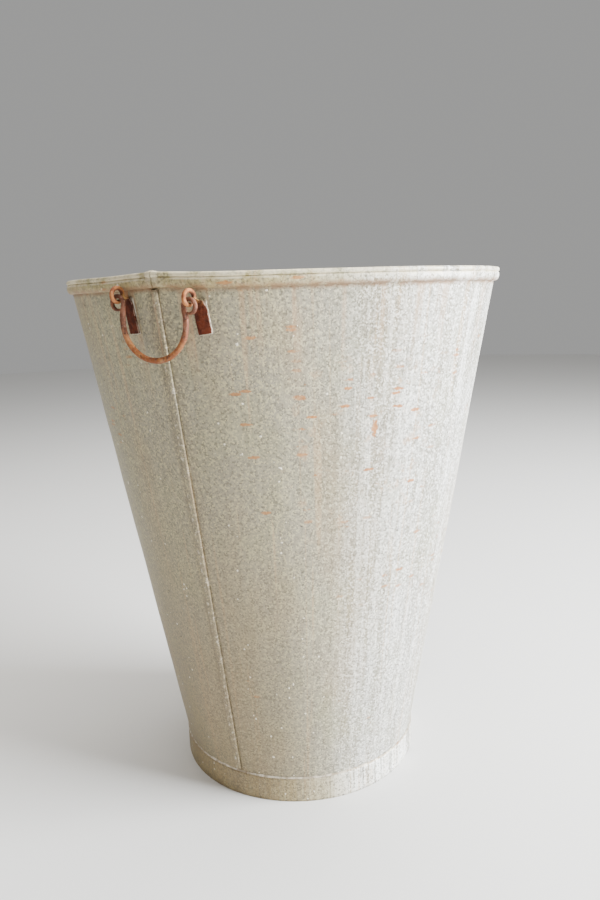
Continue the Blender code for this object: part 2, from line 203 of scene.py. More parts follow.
def bent_grid(bm, columns, rows, place):
    """Adds a flat grid of faces, bent so that its corner in column i and row j lies on place(i, j)."""
    made = bmesh.ops.create_grid(bm, x_segments=columns, y_segments=rows, size=0.5)
    for vert in made["verts"]:
        vert.co = place(round((vert.co.x + 0.5) * columns), round((vert.co.y + 0.5) * rows))


def add_piece(name, bm, finish):
    """Makes the bmesh an object with smooth faces and creased corners."""
    mesh = bpy.data.meshes.new(name)
    bm.to_mesh(mesh)
    bm.free()
    mesh.shade_smooth()
    mesh.set_sharp_from_angle(angle=math.radians(38))
    mesh.materials.append(finish)
    piece = bpy.data.objects.new(name, mesh)
    bpy.context.collection.objects.link(piece)
    return piece


def thicken(piece, thickness):
    """Gives a sheet piece its thickness, half of it to each side."""
    sheet = piece.modifiers.new("sheet", "SOLIDIFY")
    sheet.thickness = thickness
    sheet.offset = 0
    sheet.use_even_offset = True
    return sheet


def settle(piece, body, node):
    """Says which body the piece moves with and the node that it replaces."""
    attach(piece, body)
    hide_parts(node)


def add_node(tree, kind, inputs=None, **settings):
    """Adds a shader node; each input is a plain value or another node's output."""
    made = tree.nodes.new("ShaderNode" + kind)
    for setting, value in settings.items():
        setattr(made, setting, value)
    for socket, value in (inputs or {}).items():
        if isinstance(value, bpy.types.NodeSocket):
            tree.links.new(value, made.inputs[socket])
        else:
            made.inputs[socket].default_value = value
    return made


def grain(tree, vector, scale, detail=4, roughness=0.6, distortion=0.0):
    """Cloudy noise, about 0.3 to 0.7, with scale patches to the metre."""
    sizes = {"Scale": scale, "Detail": detail, "Roughness": roughness, "Distortion": distortion}
    return add_node(tree, "TexNoise", {"Vector": vector, **sizes}).outputs["Fac"]


def between(tree, value, low, high, to_low=0.0, to_high=1.0):
    """Follows value smoothly from to_low, at low, to to_high, at high."""
    limits = {"Value": value, "From Min": low, "From Max": high, "To Min": to_low, "To Max": to_high}
    return add_node(tree, "MapRange", limits, interpolation_type="SMOOTHSTEP").outputs["Result"]


def sums(tree, operation, first, second=0.0):
    return add_node(tree, "Math", {0: first, 1: second}, operation=operation).outputs["Value"]


def times(tree, first, second):
    return sums(tree, "MULTIPLY", first, second)


def vectors(tree, operation, first, second=(0, 0, 0), result="Vector"):
    return add_node(tree, "VectorMath", {0: first, 1: second}, operation=operation).outputs[result]


def axis_of(tree, vector, axis):
    return add_node(tree, "SeparateXYZ", {0: vector}).outputs[axis]


def blend_colours(tree, share, first, second):
    mix = add_node(tree, "Mix", {0: share}, data_type="RGBA")
    for socket, value in ((mix.inputs[6], first), (mix.inputs[7], second)):
        if isinstance(value, bpy.types.NodeSocket):
            tree.links.new(value, socket)
        else:
            socket.default_value = (*value, 1)
    return mix.outputs[2]


def new_finish(name, metallic):
    material = bpy.data.materials.new(name)
    material.use_nodes = True
    shader = material.node_tree.nodes["Principled BSDF"]
    shader.inputs["Metallic"].default_value = metallic
    return material, material.node_tree, shader


def set_surface(tree, shader, colour, roughness, height, depth):
    """Joins the finished colour, roughness and relief to the shader; depth is the relief in metres."""
    tree.links.new(colour, shader.inputs["Base Color"])
    tree.links.new(roughness, shader.inputs["Roughness"])
    relief = add_node(tree, "Bump", {"Height": height, "Distance": depth, "Strength": 1.0})
    tree.links.new(relief.outputs["Normal"], shader.inputs["Normal"])


def wall_coordinates(tree):
    """Place, direction faced in plan, height less the seams' lift, and squared turn from a seam."""
    place = add_node(tree, "TexCoord").outputs["Object"]
    facing = vectors(tree, "NORMALIZE", vectors(tree, "MULTIPLY", place, (1, 1, 0)))
    off_seam = sums(tree, "POWER", axis_of(tree, facing, "Y"), 2.0)
    peak = sums(tree, "EXPONENT", times(tree, off_seam, -1 / (2 * LIFT_SPREAD**2)))
    height = axis_of(tree, place, "Z")
    lift = times(tree, times(tree, peak, height), SEAM_LIFT / RIM_Z)
    return place, facing, sums(tree, "SUBTRACT", height, lift), off_seam


PATTERN_RADIUS = 0.2  # stains and bruises are laid out on a cylinder of this radius


def rolled_out(tree, facing, height, stretch):
    """Coordinates that follow the taper; a small stretch draws patterns out down the wall."""
    ring = vectors(tree, "MULTIPLY", facing, (PATTERN_RADIUS, PATTERN_RADIUS, 0))
    upright = add_node(tree, "CombineXYZ", {"Z": times(tree, height, stretch)}).outputs["Vector"]
    return vectors(tree, "ADD", ring, upright)


# Towards the window lamp: the side that is painted paler and cooler as painted light, and also the weather
# side.
WINDOW_AND_WEATHER_SIDE = (math.sin(SEAM_TURN), -math.cos(SEAM_TURN), 0)
RUST_PATCH_WAY = plan_direction(math.radians(52))  # where knocks have let rust through
RUST_PATCH_Z = 0.43
GREEN_PATINA, BROWN_PATINA = (0.34, 0.33, 0.17), (0.34, 0.24, 0.125)
WARM_OXIDE, WHITE_OXIDE = (0.60, 0.555, 0.40), (0.98, 0.98, 0.97)
DARK_RUN, TAN_RUN, WET_RUN = (0.25, 0.225, 0.17), (0.55, 0.37, 0.20), (0.28, 0.27, 0.235)
GRIME_AND_SHADE, SEAM_DIRT = (0.215, 0.148, 0.074), (0.20, 0.145, 0.090)
WARM_CRYSTAL, WHITE_CRYSTAL, DARK_CRYSTAL = (0.57, 0.50, 0.29), (1.0, 0.99, 0.97), (0.13, 0.115, 0.08)
SEAM_FLECK, CHALK, NICK = (0.80, 0.72, 0.58), (0.90, 0.84, 0.69), (0.10, 0.09, 0.07)
DARK_MARK, ORANGE_MARK, RUST_SMUDGE = (0.27, 0.07, 0.012), (0.62, 0.27, 0.07), (0.55, 0.33, 0.17)
RIM_RUN, HOOP_EDGE_RUST_AND_SHADE, RUBBED_AND_LIT_ZINC = (0.50, 0.31, 0.17), (0.26, 0.15, 0.08), (0.80, 0.72, 0.53)


def specks(tree, coordinates, scale, rarity, size):
    """Round specks in the cells that a draw above rarity picks out."""
    cells = add_node(tree, "TexVoronoi", {"Vector": coordinates, "Scale": scale})
    chosen = add_node(tree, "SeparateColor", {0: cells.outputs["Color"]}).outputs[0]
    near = between(tree, cells.outputs["Distance"], size, size * 0.6)
    return times(tree, near, sums(tree, "GREATER_THAN", chosen, rarity))


def ragged(tree, spread, coordinates, shift):
    """The coordinates shaken by up to about shift, so that specks get torn outlines."""
    wobble = add_node(tree, "TexNoise", {"Vector": spread, "Scale": 260.0, "Detail": 4.0})
    moved = vectors(tree, "MULTIPLY", wobble.outputs["Color"], (shift, shift, shift))
    return vectors(tree, "ADD", coordinates, moved)


def patina_clouds(tree, facing, height, colour):
    """Cloudy patches of greenish and brownish patina."""
    clouds = between(tree, grain(tree, rolled_out(tree, facing, height, 1.0), 14, 5, 0.6), 0.40, 0.66)
    colour = blend_colours(tree, times(tree, clouds, 0.34), colour, GREEN_PATINA)
    stains = between(tree, grain(tree, rolled_out(tree, facing, height, 0.4), 12, 4, 0.55), 0.48, 0.70)
    return blend_colours(tree, times(tree, stains, 0.42), colour, BROWN_PATINA)


def oxide_runs(tree, down, drip, washed_and_lit, streaks, colour):
    """Runs of white oxide with darker ones between them, close together on the weather side."""
    runs = between(tree, grain(tree, down, 250, 2, 0.6, 0.3), 0.50, 0.59)
    broad_runs = between(tree, grain(tree, drip, 95, 2, 0.5, 0.4), 0.47, 0.60)
    both = sums(tree, "ADD", times(tree, runs, 0.6), times(tree, broad_runs, 0.6))
    white = times(tree, both, between(tree, washed_and_lit, 0.10, 0.8, 0.34 * streaks, 1.0 * streaks))
    oxide = blend_colours(tree, washed_and_lit, WARM_OXIDE, WHITE_OXIDE)
    colour = blend_colours(tree, sums(tree, "MINIMUM", white, 0.93), colour, oxide)
    dark = between(tree, grain(tree, down, 190, 2, 0.55, 0.5), 0.52, 0.62)
    dark = times(tree, dark, between(tree, washed_and_lit, 0.0, 0.8, 0.40 * streaks, 0.95 * streaks))
    colour = blend_colours(tree, dark, colour, DARK_RUN)
    tan = between(tree, grain(tree, drip, 120, 2, 0.5, 0.6), 0.60, 0.68)
    colour = blend_colours(tree, times(tree, tan, 0.42), colour, TAN_RUN)
    broad_dark = between(tree, grain(tree, drip, 62, 2, 0.5, 0.5), 0.52, 0.61)
    broad_dark = times(tree, times(tree, broad_dark, washed_and_lit), 0.80 * streaks)
    return blend_colours(tree, broad_dark, colour, WET_RUN), white


def zinc_crystals(tree, place, washed_and_lit, grime_and_shade, colour):
    """Fine crystals of the zinc, each a little lighter or darker than its neighbour."""
    fine = grain(tree, place, 340, 3, 0.6)
    cells = add_node(tree, "TexVoronoi", {"Vector": place, "Scale": 600.0}).outputs["Color"]
    crystal = add_node(tree, "SeparateColor", {0: cells}).outputs[0]
    mottle = sums(tree, "ADD", times(tree, fine, 0.55), times(tree, crystal, 0.45))
    pale = blend_colours(tree, washed_and_lit, WARM_CRYSTAL, WHITE_CRYSTAL)
    clean = sums(tree, "SUBTRACT", 1.0, grime_and_shade)
    pale_share = times(tree, between(tree, mottle, 0.54, 0.72, 0, 0.66), clean)
    colour = blend_colours(tree, pale_share, colour, pale)
    return blend_colours(tree, between(tree, mottle, 0.45, 0.28, 0, 0.62), colour, DARK_CRYSTAL), mottle


def seam_flecks(tree, height, off_seam, spread, colour):
    """Pale flecks where the seam's fold has been rubbed, from the foot up to the hoop."""
    off_middle = sums(tree, "ABSOLUTE", sums(tree, "SUBTRACT", height, (SEAM_BOTTOM + HOOP_BOTTOM) / 2))
    on_seam = sums(tree, "LESS_THAN", off_middle, (HOOP_BOTTOM - SEAM_BOTTOM) / 2)
    flecks = times(tree, between(tree, off_seam, 0.0005, 0.0001), on_seam)
    patchy = between(tree, grain(tree, spread, 190, 4, 0.7), 0.55, 0.63, 0, 0.5)
    return blend_colours(tree, times(tree, flecks, patchy), colour, SEAM_FLECK)


def rust_marks(tree, facing, height, spread, colour):
    """Small ragged rust marks that lie level or run down, thickest where the sheet was knocked."""
    patch_way = vectors(tree, "DOT_PRODUCT", facing, RUST_PATCH_WAY, "Value")
    off_patch = sums(tree, "ABSOLUTE", sums(tree, "SUBTRACT", height, RUST_PATCH_Z))
    patch = times(tree, between(tree, patch_way, 0.88, 0.97), between(tree, off_patch, 0.12, 0.05))
    elsewhere = between(tree, grain(tree, spread, 7, 2, 0.5), 0.54, 0.60, 0, 0.8)
    level = ragged(tree, spread, rolled_out(tree, facing, height, 3.4), 0.009)
    falling = ragged(tree, spread, rolled_out(tree, facing, height, 0.40), 0.007)
    level_marks, falling_marks = specks(tree, level, 44, 0.70, 0.31), specks(tree, falling, 62, 0.88, 0.25)
    marks = sums(tree, "MAXIMUM", level_marks, falling_marks)
    rust = times(tree, marks, sums(tree, "MAXIMUM", patch, elsewhere))
    rust_colour = blend_colours(tree, grain(tree, spread, 210, 2), DARK_MARK, ORANGE_MARK)
    colour = blend_colours(tree, times(tree, rust, 0.88), colour, rust_colour)
    smudges = times(tree, between(tree, grain(tree, spread, 62, 4, 0.65), 0.57, 0.68), patch)
    return blend_colours(tree, times(tree, smudges, 0.42), colour, RUST_SMUDGE)


def rim_wear(tree, height, off_seam, spread, drip, colour):
    """Rust and painted shade along the hoop's lower edge, and rust in thin runs below it; the bead and the
    hoop's top are painted pale, partly rubbed zinc and partly a painted highlight.
    """
    under_rim = between(tree, height, RIM_Z - 0.13, RIM_Z - 0.02)
    under_rim = times(tree, under_rim, between(tree, height, HOOP_BOTTOM + 0.001, HOOP_BOTTOM))
    tinted = between(tree, grain(tree, drip, 130, 2, 0.5), 0.53, 0.70)
    colour = blend_colours(tree, times(tree, times(tree, tinted, under_rim), 0.45), colour, RIM_RUN)
    # Rust and painted shade: the hoop's lower half and the wall just under it are darkened brown.
    edge = between(tree, height, HOOP_BOTTOM - 0.0045, HOOP_BOTTOM - 0.0005)
    edge = times(tree, edge, between(tree, height, HOOP_BOTTOM + 0.0055, HOOP_BOTTOM + 0.0008))
    edge = times(tree, edge, between(tree, grain(tree, spread, 90, 3, 0.6), 0.34, 0.58, 0.25, 0.8))
    colour = blend_colours(tree, edge, colour, HOOP_EDGE_RUST_AND_SHADE)
    # Painted highlight with rubbing: the bead and the top of the hoop are painted pale.
    rubbed = between(tree, height, HOOP_TOP - 0.0026, HOOP_TOP - 0.0008, 0.0, 0.72)
    rubbed = times(tree, rubbed, between(tree, grain(tree, spread, 70, 4, 0.65), 0.36, 0.60))
    at_joint = between(tree, off_seam, 0.0012, 0.0004, 0.0, 0.6)
    at_joint = times(tree, at_joint, between(tree, height, HOOP_TOP - 0.006, HOOP_TOP + 0.001))
    return blend_colours(tree, sums(tree, "MAXIMUM", rubbed, at_joint), colour, RUBBED_AND_LIT_ZINC)


def weathered_zinc(name, warm, cool, streaks):
    """Old galvanising: mottled patina, pale runs of oxide, chalk specks, rust marks and nicks.

    The tones are those of the shaded, sheltered side and of the lit weather side, so they carry painted
    shade and painted light; streaks is how strongly it has run.
    """
    material, tree, shader = new_finish(name, 0.30)
    shader.inputs["Specular IOR Level"].default_value = 0.3
    place, facing, height, off_seam = wall_coordinates(tree)
    spread = rolled_out(tree, facing, height, 1.0)
    down = rolled_out(tree, facing, height, 0.055)
    drip = rolled_out(tree, facing, height, 0.022)

    # Towards the window light the zinc is painted paler and cooler, in broad uneven zones: painted light
    # laid over the weather side's washing. Low down on the side away from that light, brown grime
    # thickens, and it also stands for painted shade there.
    side = vectors(tree, "DOT_PRODUCT", facing, WINDOW_AND_WEATHER_SIDE, "Value")
    zoned = sums(tree, "ADD", side, times(tree, grain(tree, drip, 11, 3, 0.55), 0.7))
    washed_and_lit = between(tree, zoned, 0.27, 1.08)
    # Brown darkening low down on the side away from the window light: grime near the foot, and painted
    # shade of that side.
    low = between(tree, height, 0.54, 0.08, 0.0, 0.84)
    low = times(tree, low, between(tree, height, 0.0, 0.05, 0.7, 1.0))
    grime_and_shade = times(tree, times(tree, low, between(tree, zoned, 0.66, 0.0)), 0.4 + 0.6 * streaks)

    colour = patina_clouds(tree, facing, height, blend_colours(tree, washed_and_lit, warm, cool))
    colour, white = oxide_runs(tree, down, drip, washed_and_lit, streaks, colour)
    colour = blend_colours(tree, grime_and_shade, colour, GRIME_AND_SHADE)
    beside_seam = times(tree, between(tree, off_seam, 0.006, 0.0004), 0.34)
    colour = blend_colours(tree, beside_seam, colour, SEAM_DIRT)
    colour, mottle = zinc_crystals(tree, place, washed_and_lit, grime_and_shade, colour)
    colour = seam_flecks(tree, height, off_seam, spread, colour)

    # Sparse chalky specks, then the rust, then dark nicks cut through both.
    chalk = specks(tree, ragged(tree, spread, spread, 0.007), 80, 0.94, 0.16)
    fine_chalk = specks(tree, ragged(tree, spread, spread, 0.003), 190, 0.955, 0.26)
    chalk = sums(tree, "ADD", chalk, fine_chalk)
    colour = blend_colours(tree, sums(tree, "MINIMUM", chalk, 0.85), colour, CHALK)
    colour = rust_marks(tree, facing, height, spread, colour)
    flattened = ragged(tree, spread, rolled_out(tree, facing, height, 2.6), 0.005)
    nicks = specks(tree, flattened, 60, 0.91, 0.14)
    colour = blend_colours(tree, times(tree, nicks, 0.75), colour, NICK)
    colour = rim_wear(tree, height, off_seam, spread, drip, colour)

    rough = between(tree, sums(tree, "ADD", mottle, white), 0.3, 1.0, 0.42, 0.66)
    surface = sums(tree, "ADD", times(tree, mottle, 0.6), times(tree, white, 0.4))
    surface = sums(tree, "SUBTRACT", sums(tree, "ADD", surface, chalk), times(tree, nicks, 1.2))
    set_surface(tree, shader, colour, rough, surface, 0.0007)
    return material


outer_zinc = weathered_zinc("weathered zinc, outside", (0.315, 0.254, 0.094), (0.64, 0.63, 0.575), 1.0)
inner_zinc = weathered_zinc("weathered zinc, inside", (0.30, 0.275, 0.205), (0.42, 0.41, 0.37), 0.4)


def cover_section():
    """Across and out of the edge that is folded over: its return, the round fold, then its top."""
    half = FOLD_WIDTH / 2
    section = [(FOLD_SHORT - half, 1), (half, 1)]
    for turn in range(20, 180, 20):
        fold = math.radians(turn)
        section.append((half + LAYER * math.sin(fold), 2 - math.cos(fold)))
    down_to_wall = ((0.0010, 3), (0.0018, 2.8), (0.0030, 1.6), (0.0040, 0.4))
    return section + [(half, 3)] + [(-half - past, layers) for past, layers in down_to_wall]


def hook_section():
    """The other edge, folded outwards and back inside the cover."""
    half = FOLD_WIDTH / 2
    section = [(-half, 0)]
    for turn in range(30, 180, 30):
        fold = math.radians(turn)
        section.append((-half - LAYER * math.sin(fold), 1 - math.cos(fold)))
    return section + [(-half, 2), (half - FOLD_SHORT, 2)]


def bruise(angle, z, seed):
    """Slight waves and knocks in the sheet, dying out at the seams, the hoop and the foot."""
    point = plan_direction(angle) * PATTERN_RADIUS + Vector((0, 0, z * 0.6 + seed))
    wave = noise.noise(point * 11) * WAVES + noise.noise(point * 34) * KNOCKS
    beside_seam = min(1, abs(math.sin(angle)) / 0.16)
    clear_ends = min(1, max(0, (z - FOOT_TOP - 0.01) / 0.06), max(0, (RIM_Z - 0.018 - z) / 0.05))
    return wave * beside_seam * clear_ends


def panel(name, node, start, seed):
    """One half of the body; it runs from its hooked edge, at angle start, to its covering edge."""
    wall = [(angle, across, 0) for angle, across in half_stations()]
    hook = [(0, across, layers) for across, layers in hook_section()]
    cover = [(math.pi, across, layers) for across, layers in cover_section()]
    foot = [PANEL_BOTTOM, FOOT_TOP, SEAM_BOTTOM]
    body = [SEAM_BOTTOM + (SEAM_TOP - SEAM_BOTTOM) * i / WALL_ROWS for i in range(WALL_ROWS + 1)]

    def spot(section, z):
        angle, across, layers = section
        return wall_point(start + angle, z, layers * LAYER + bruise(angle, z, seed), across)

    def curl(section, j):
        """Round the wire; the bead swells towards its joint with the other panel's."""
        angle, across, _ = section
        turn = math.pi + (CURL_END - math.pi) * j / CURL_ROWS
        from_joint = min(angle, math.pi - angle) * MOUTH_RADIUS + abs(across)
        swell = 1 + BEAD_SWELL * math.exp(-((from_joint / BEAD_SWELL_LENGTH) ** 2))
        rise = Vector((0, 0, CURL_RADIUS * swell * math.sin(turn)))
        return wall_point(start + angle, BEAD_Z, CURL_RADIUS * (1 + swell * math.cos(turn)), across) + rise

    def neck(section, j):
        """From the top of the seam to the start of the curl."""
        return curl(section, 0) if j else spot(section, SEAM_TOP)

    bm = bmesh.new()
    flat = [(0, SEAM_FLAT * share, 0) for share in (0.15, 0.35, 0.55, 0.75)]
    far_flat = [(math.pi, -across, 0) for _, across, _ in reversed(flat)]
    butts = [[(0, GAP, 0), *flat, wall[0]], [wall[-1], *far_flat, (math.pi, -GAP, 0)]]
    for columns in (wall, *butts):
        bent_grid(bm, len(columns) - 1, CURL_ROWS, lambda i, j: curl(columns[i], j))
        bent_grid(bm, len(columns) - 1, 1, lambda i, j: neck(columns[i], j))
        bent_grid(bm, len(columns) - 1, len(foot) - 1, lambda i, j: spot(columns[i], foot[j]))
    for columns in (wall, [wall[0], *hook], [wall[-1], *reversed(cover)]):
        bent_grid(bm, len(columns) - 1, WALL_ROWS, lambda i, j: spot(columns[i], body[j]))
    bmesh.ops.remove_doubles(bm, verts=bm.verts, dist=1e-5)
    bmesh.ops.recalc_face_normals(bm, faces=bm.faces)
    outer = max(bm.faces, key=lambda face: face.calc_center_median().xy.length)
    if outer.normal.dot(outer.calc_center_median()) < 0:
        bmesh.ops.reverse_faces(bm, faces=bm.faces)
    piece = add_piece(name, bm, outer_zinc)
    piece.data.materials.append(inner_zinc)
    thicken(piece, SHEET).material_offset = 1
    settle(piece, "bucket", node)


panel("front_sheet", "front_panel", 0, 0.0)
panel("back_sheet", "back_panel", math.pi, 5.0)

# ---------------------------------------------------------------------------------------------
# Rim. The wire is drawn steel, closed up inside the rolled edge. Under the bead runs a half-round
# iron hoop, shrunk on and dipped with the body; its ends meet over the -X seam.
HOOP_INNER, HOOP_OUTER = SHEET / 2 + GAP, 0.0053
HOOP_LIP = 0.0010
HOOP_CORNERS = 28
HOOP_KNOCKS = 0.00035
JOINT_LUMP, JOINT_LUMP_LENGTH = 0.0008, 0.0045  # the hoop swells at its joint
JOINT_CLEFT, JOINT_CLEFT_LENGTH = 0.0030, 0.0007  # and dips where its ends meet


def ring_stations():
    """(angle, across) all the way round, at the same stations as the panels."""
    half = half_stations()
    return half + [(angle + math.pi, across) for angle, across in half] + [half[0]]


def ring_piece(name, section, corners, finish, node):
    """A closed ring round the wall; section(angle, across, j) gives the (out, z) of its corner j."""
    around = ring_stations()
    joint = [(0, SEAM_FLAT * share) for share in (-0.5, -0.25, -0.14, -0.07, 0, 0.07, 0.14, 0.25, 0.5)]
    around = [*around[:-1], (0, -SEAM_FLAT), *joint, around[-1]]

    def place(i, j):
        angle, across = around[i]
        out, z = section(angle % (2 * math.pi), across, j % corners)
        return wall_point(angle, z, out, across)

    bm = bmesh.new()
    bent_grid(bm, len(around) - 1, corners, place)
    bmesh.ops.remove_doubles(bm, verts=bm.verts, dist=1e-6)
    bmesh.ops.recalc_face_normals(bm, faces=bm.faces)
    settle(add_piece(name, bm, finish), "bucket", node)


def hoop_section(angle, across, j):
    """Flat inside, rounded outside, with a lip that closes up to the bead."""
    turn = 2 * math.pi * j / HOOP_CORNERS
    from_joint = math.sin(angle / 2) * 2 * MOUTH_RADIUS + abs(across)
    lump = JOINT_LUMP * math.exp(-((from_joint / JOINT_LUMP_LENGTH) ** 2))
    lump -= JOINT_CLEFT * math.exp(-((from_joint / JOINT_CLEFT_LENGTH) ** 2))
    knocks = noise.noise(plan_direction(angle) * 9) * HOOP_KNOCKS
    swell = max(0, math.cos(turn)) ** (0.45 if math.sin(turn) > 0 else 0.75)
    out = HOOP_INNER + (HOOP_OUTER - HOOP_INNER + knocks + lump) * swell
    lip = HOOP_LIP * max(0, math.sin(turn)) ** 2 * swell
    middle, half = (HOOP_TOP + HOOP_BOTTOM) / 2, HOOP_HEIGHT / 2
    return out, middle + half * math.sin(turn) + lip


hoop_zinc = weathered_zinc("weathered zinc, hoop", (0.40, 0.31, 0.14), (0.80, 0.78, 0.71), 0.6)
ring_piece("hoop_iron", hoop_section, HOOP_CORNERS, hoop_zinc, "rim_hoop")


def drawn_steel():
    """Grey drawn wire with dull oxide and a few rust freckles."""
    material, tree, shader = new_finish("drawn steel wire", 0.8)
    place = add_node(tree, "TexCoord").outputs["Object"]
    dull = grain(tree, place, 300)
    colour = blend_colours(tree, between(tree, dull, 0.35, 0.7), (0.27, 0.26, 0.25), (0.42, 0.40, 0.37))
    freckles = between(tree, grain(tree, place, 90, 3), 0.58, 0.7)
    colour = blend_colours(tree, freckles, colour, (0.25, 0.11, 0.055))
    set_surface(tree, shader, colour, between(tree, dull, 0.3, 0.7, 0.4, 0.7), dull, 0.0002)
    return material


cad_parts["rim_wire"].data.materials.clear()
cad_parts["rim_wire"].data.materials.append(drawn_steel())

# ---------------------------------------------------------------------------------------------
# Foot. A strip of sheet is bent round the foot with its end lapped over its start, and the floor
# is a disc with its edge turned down inside the wall. Solder runs along the top of the band and
# round the floor, and down the inside of both seams.
BAND = 0.0010
BAND_OUT = SHEET / 2 + GAP + BAND / 2
BAND_LAP_AT = math.radians(250)
BAND_LAP, BAND_ROWS = 8, 10  # stations that the lap covers, and rows up the band
NICK_AT, NICK_SPREAD, NICK_DEEP = math.radians(60), 0.010, 0.0013
BAND_DENTS = 0.0002
PAN_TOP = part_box("floor_pan")[1].z
PAN_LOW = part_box("floor_pan")[0].z
PAN_BEND, PAN_SAG = 0.0015, 0.00072
PAN_RINGS, BEND_ROWS = 26, 4
FILLET = 0.0030

foot_zinc = weathered_zinc("weathered zinc, foot", (0.37, 0.30, 0.16), (0.92, 0.90, 0.84), 0.9)
floor_zinc = weathered_zinc("weathered zinc, floor", (0.29, 0.26, 0.20), (0.38, 0.37, 0.33), 0.5)


def foot_band():
    """The strip, from its start all the way round and on over the lap, clear of the first turn."""
    around = ring_stations()[:-1]
    start = min(range(len(around)), key=lambda i: abs(around[i][0] - BAND_LAP_AT))
    path = [(*around[(start + i) % len(around)], 0) for i in range(len(around) + 1)]
    path += [(*around[(start + i) % len(around)], BAND + GAP) for i in range(1, BAND_LAP + 1)]

    def place(i, j):
        angle, across, lift = path[i]
        nick = NICK_DEEP * math.exp(-(((angle - NICK_AT) / NICK_SPREAD) ** 2)) * (j == 0)
        dent = noise.noise(plan_direction(angle) * 1.3 + Vector((0, 0, j * 0.1))) * BAND_DENTS
        z = (FOOT_TOP - GAP) * j / BAND_ROWS + nick
        return wall_point(angle, z, BAND_OUT + lift + dent, across)

    bm = bmesh.new()
    bent_grid(bm, len(path) - 1, BAND_ROWS, place)
    strip = add_piece("foot_strip", bm, foot_zinc)
    thicken(strip, BAND)
    settle(strip, "bucket", "foot_band")


def floor_pan():
    """The floor, sagging a little and uneven in the middle, with its edge turned down."""
    around = ring_stations()
    reach = FOOT_RADIUS - SHEET - GAP

    def place(i, j):
        angle, across = around[i]
        flat = reach - PAN_BEND
        if j <= PAN_RINGS:
            radius, z = flat * j / PAN_RINGS, PAN_TOP - SHEET / 2
            uneven = noise.noise(plan_direction(angle) * radius * 14) + 0.4
            z -= PAN_SAG * uneven * (1 - (j / PAN_RINGS) ** 4)
        elif j <= PAN_RINGS + BEND_ROWS:
            turn = math.pi / 2 * (j - PAN_RINGS) / BEND_ROWS
            radius = flat + PAN_BEND * math.sin(turn)
            z = PAN_TOP - SHEET / 2 - PAN_BEND * (1 - math.cos(turn))
        else:
            radius, z = reach, PAN_LOW
        sideways = plan_direction(angle + math.pi / 2) * across * radius / reach
        return plan_direction(angle) * radius + sideways + Vector((0, 0, z))

    bm = bmesh.new()
    bent_grid(bm, len(around) - 1, PAN_RINGS + BEND_ROWS + 1, place)
    bmesh.ops.remove_doubles(bm, verts=bm.verts, dist=1e-6)
    bmesh.ops.recalc_face_normals(bm, faces=bm.faces)
    disc = add_piece("floor_disc", bm, floor_zinc)
    thicken(disc, SHEET)
    settle(disc, "bucket", "floor_pan")


foot_band()
floor_pan()


def worn_solder():
    """Tin-lead solder: dull grey with bright rubbed ridges and rust-stained pits."""
    material, tree, shader = new_finish("worn solder", 0.35)
    place = add_node(tree, "TexCoord").outputs["Object"]
    cloud = grain(tree, place, 130)
    colour = blend_colours(tree, between(tree, cloud, 0.38, 0.62), (0.34, 0.275, 0.19), (0.66, 0.59, 0.47))
    pits = between(tree, grain(tree, place, 75, 4, 0.6), 0.57, 0.66)
    colour = blend_colours(tree, times(tree, pits, 0.75), colour, (0.30, 0.16, 0.085))
    speck = between(tree, grain(tree, place, 480, 3, 0.6), 0.55, 0.7)
    colour = blend_colours(tree, times(tree, speck, 0.5), colour, (0.25, 0.23, 0.19))
    lumps = sums(tree, "SUBTRACT", cloud, times(tree, pits, 0.5))
    set_surface(tree, shader, colour, between(tree, cloud, 0.35, 0.7, 0.55, 0.38), lumps, 0.0010)
    return material


solder = worn_solder()
FILLET_SECTION = [(0, 0), (1, 0), (0.86, 0.16), (0.52, 0.34), (0.25, 0.62), (0.06, 1), (0, 1)]


def fillet_ring(name, node, corner_out, corner_z, out_reach, rise):
    """A rough run of solder in the corner at (corner_out, corner_z), of uneven width and height."""

    def section(angle, across, j):
        flow = 0.72 + 0.5 * noise.noise(plan_direction(angle) * 12 + Vector((0, 0, rise * 900)))
        flow += 0.35 * noise.noise(plan_direction(angle) * 42)
        out, up = FILLET_SECTION[j]
        return corner_out + out_reach * out * min(1, flow + 0.3), corner_z + rise * up * max(0.25, flow)

    ring_piece(name, section, len(FILLET_SECTION), solder, node)


wall_face = SHEET / 2 + GAP
fillet_ring("foot_solder_run", "foot_solder", wall_face, FOOT_TOP, BAND + GAP, FILLET)
fillet_ring("floor_solder_run", "floor_solder", -wall_face, PAN_TOP + GAP, -FILLET, FILLET)

RUN_ASIDE, RUN_HALF_WIDTH, RUN_HEIGHT = -0.0012, 0.0042, 0.0006
RUN_LEVELS, RUN_CORNERS = 150, 12


def seam_solder(name, node, angle):
    """Solder down the inside of a seam, a low rounded run with lumps."""
    low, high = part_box(node)[0].z, SEAM_TOP

    def place(i, j):
        z = low + (high - low) * i / RUN_LEVELS
        turn = math.pi * (j % RUN_CORNERS) / (RUN_CORNERS - 1)
        lump = 1 + 0.5 * noise.noise(Vector((angle, 0, z * 60)))
        lump += 0.25 * noise.noise(Vector((angle, 3, z * 200)))
        across = RUN_ASIDE + RUN_HALF_WIDTH * math.cos(turn)
        return wall_point(angle, z, -wall_face - RUN_HEIGHT * lump * math.sin(turn), across)

    bm = bmesh.new()
    bent_grid(bm, RUN_LEVELS, RUN_CORNERS, place)
    bmesh.ops.remove_doubles(bm, verts=bm.verts, dist=1e-6)
    bmesh.ops.holes_fill(bm, edges=bm.edges, sides=0)
    bmesh.ops.recalc_face_normals(bm, faces=bm.faces)
    settle(add_piece(name, bm, solder), "bucket", node)


seam_solder("left_seam_run", "left_seam_solder", 0)
seam_solder("right_seam_run", "right_seam_solder", math.pi)

